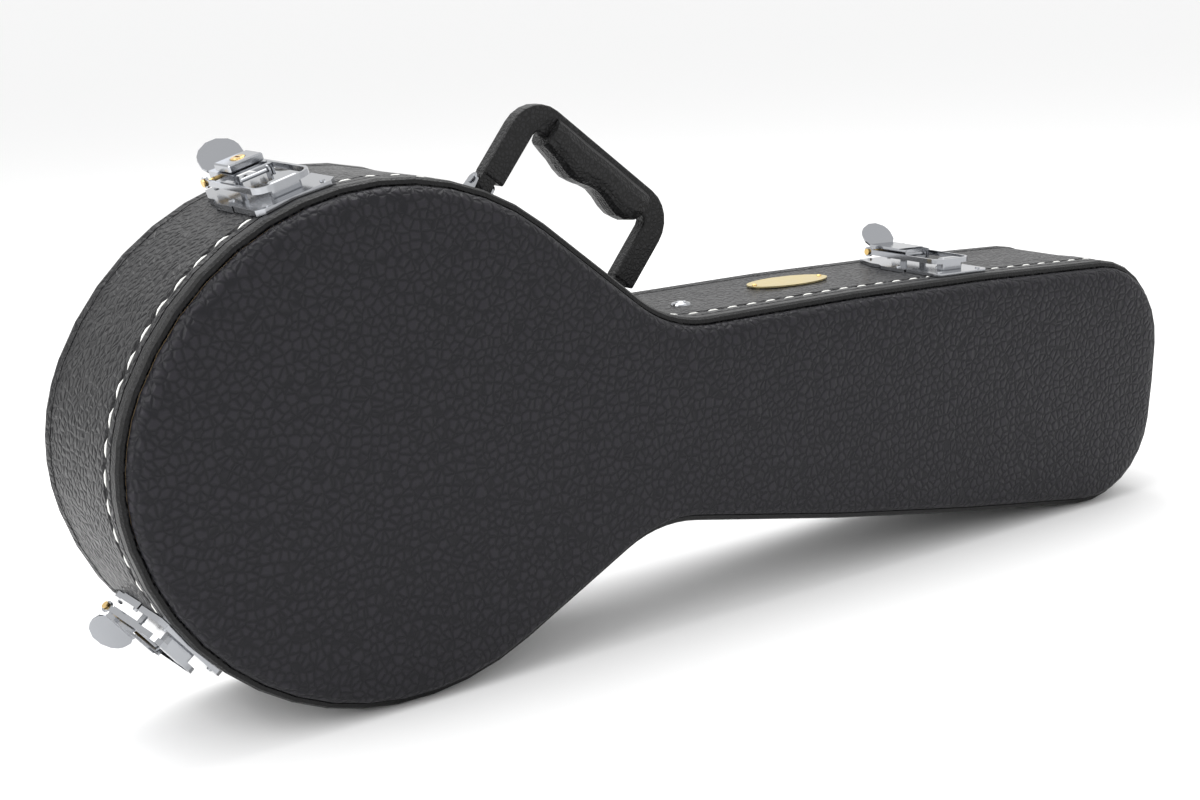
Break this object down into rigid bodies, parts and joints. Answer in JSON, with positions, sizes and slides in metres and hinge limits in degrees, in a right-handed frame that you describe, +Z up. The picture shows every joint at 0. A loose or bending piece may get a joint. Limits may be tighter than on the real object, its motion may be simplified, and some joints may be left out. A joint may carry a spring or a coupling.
{
  "type": "mandolin case",
  "caption": "Hard case for a mandolin, shaped to a round body and neck, with a padded lid, draw latches, a carrying handle and a lidded compartment inside.",
  "frame": {"origin": "middle of the footprint at floor level, standing on the hinge side", "axes": "+X towards the head end, +Y towards the back, +Z up towards the handle"},
  "size_m": [0.7785, 0.114, 0.3139],
  "materials": {
    "vinyl": "black grained vinyl over plywood",
    "panel_vinyl": "black grained vinyl over foam",
    "welt_vinyl": "smooth",
    "plywood": "raw",
    "plush": "short pile",
    "chrome": "polished",
    "brass": "satin",
    "handle": "grained",
    "badge": "satin, bare",
    "leather": "plain"
  },
  "bodies": {
    "case_body": {"body_wall": "vinyl", "back_panel": "vinyl", "body_lining": "plush", "back_pad": "plush", "locating_lip": "plush", "latch_base_top": "chrome", "latch_base_neck": "chrome", "latch_base_end": "chrome", "lever_pin_top": "chrome", "lever_pin_neck": "chrome", "lever_pin_end": "chrome", "hinge_leaf_body_bout": "chrome", "hinge_pin_bout": "chrome", "hinge_leaf_body_head": "chrome", "hinge_pin_head": "chrome", "handle_bracket_bout": "chrome", "handle_bracket_neck": "chrome", "handle_pin_bout": "chrome", "handle_pin_neck": "chrome", "badge_plate": "badge", "badge_pin_right": "brass", "badge_pin_left": "brass", "cup_washer": "chrome", "divider_screw": "chrome", "neck_rest": "plush", "compartment_divider": "plush", "tail_pad": "plush", "compartment_pin": "chrome", "compartment_ledge_rest": "plywood", "compartment_ledge_divider": "plywood"},
    "lid": {"lid_wall": "vinyl", "edge_welt": "welt_vinyl", "lid_panel": "panel_vinyl", "lid_board": "plywood", "lid_lining": "plush", "lid_pad": "plush", "latch_keeper_top": "chrome", "latch_keeper_neck": "chrome", "latch_keeper_end": "chrome", "hinge_leaf_lid_bout": "chrome", "hinge_leaf_lid_head": "chrome"},
    "lever_top_body": {"lever_top": "chrome", "bail_pin_top": "brass", "lock_case": "chrome"},
    "lever_neck_body": {"lever_neck": "chrome", "bail_pin_neck": "brass"},
    "lever_end_body": {"lever_end": "chrome", "bail_pin_end": "brass"},
    "bail_top_body": {"bail_top": "chrome"},
    "bail_neck_body": {"bail_neck": "chrome"},
    "bail_end_body": {"bail_end": "chrome"},
    "key": {"key_plug": "brass"},
    "handle": {"handle_strap": "handle", "handle_grip": "handle"},
    "compartment_cover": {"compartment_lid": "plush", "pull_tab": "leather"}
  },
  "joints": [
    {"name": "lid_hinge", "type": "hinge", "parent": "case_body", "child": "lid", "pos_m": [-0.22771, -0.01, 0.0026], "axis": [1, 0, 0], "range_deg": [0, 100]},
    {"name": "lever_top_hinge", "type": "hinge", "parent": "case_body", "child": "lever_top_body", "pos_m": [-0.27616, 0.007, 0.29354], "axis": [0.9653, 0, 0.2611], "range_deg": [0, 150]},
    {"name": "lever_neck_hinge", "type": "hinge", "parent": "case_body", "child": "lever_neck_body", "pos_m": [0.20483, 0.007, 0.18799], "axis": [0.9989, 0, -0.0468], "range_deg": [0, 150]},
    {"name": "lever_end_hinge", "type": "hinge", "parent": "case_body", "child": "lever_end_body", "pos_m": [-0.36079, 0.007, 0.0555], "axis": [-0.6291, 0, 0.7773], "range_deg": [0, 150]},
    {"name": "bail_top_hinge", "type": "hinge", "parent": "lever_top_body", "child": "bail_top_body", "pos_m": [-0.27616, 0.034, 0.29354], "axis": [0.9653, 0, 0.2611], "range_deg": [-150, 0]},
    {"name": "bail_neck_hinge", "type": "hinge", "parent": "lever_neck_body", "child": "bail_neck_body", "pos_m": [0.20483, 0.034, 0.18799], "axis": [0.9989, 0, -0.0468], "range_deg": [-150, 0]},
    {"name": "bail_end_hinge", "type": "hinge", "parent": "lever_end_body", "child": "bail_end_body", "pos_m": [-0.36079, 0.034, 0.0555], "axis": [-0.6291, 0, 0.7773], "range_deg": [-150, 0]},
    {"name": "key_turn", "type": "hinge", "parent": "lever_top_body", "child": "key", "pos_m": [-0.27775, 0.0201, 0.29943], "axis": [-0.2611, 0, 0.9653], "range_deg": [0, 90]},
    {"name": "handle_hinge", "type": "hinge", "parent": "case_body", "child": "handle", "pos_m": [-0.12053, 0.02, 0.26467], "axis": [0.7758, 0, -0.631], "range_deg": [-70, 70]},
    {"name": "compartment_hinge", "type": "hinge", "parent": "case_body", "child": "compartment_cover", "pos_m": [0.03746, 0.0075, 0.06382], "axis": [0.9943, 0, -0.1067], "range_deg": [0, 90]}
  ],
  "couplings": [
    {"joint": "lever_top_hinge", "follows": "lid_hinge", "ratio": 1.5},
    {"joint": "lever_neck_hinge", "follows": "lid_hinge", "ratio": 1.5},
    {"joint": "lever_end_hinge", "follows": "lid_hinge", "ratio": 1.5},
    {"joint": "bail_top_hinge", "follows": "lid_hinge", "ratio": -1.5},
    {"joint": "bail_neck_hinge", "follows": "lid_hinge", "ratio": -1.5},
    {"joint": "bail_end_hinge", "follows": "lid_hinge", "ratio": -1.5},
    {"joint": "compartment_hinge", "follows": "lid_hinge", "ratio": 0.9}
  ]
}
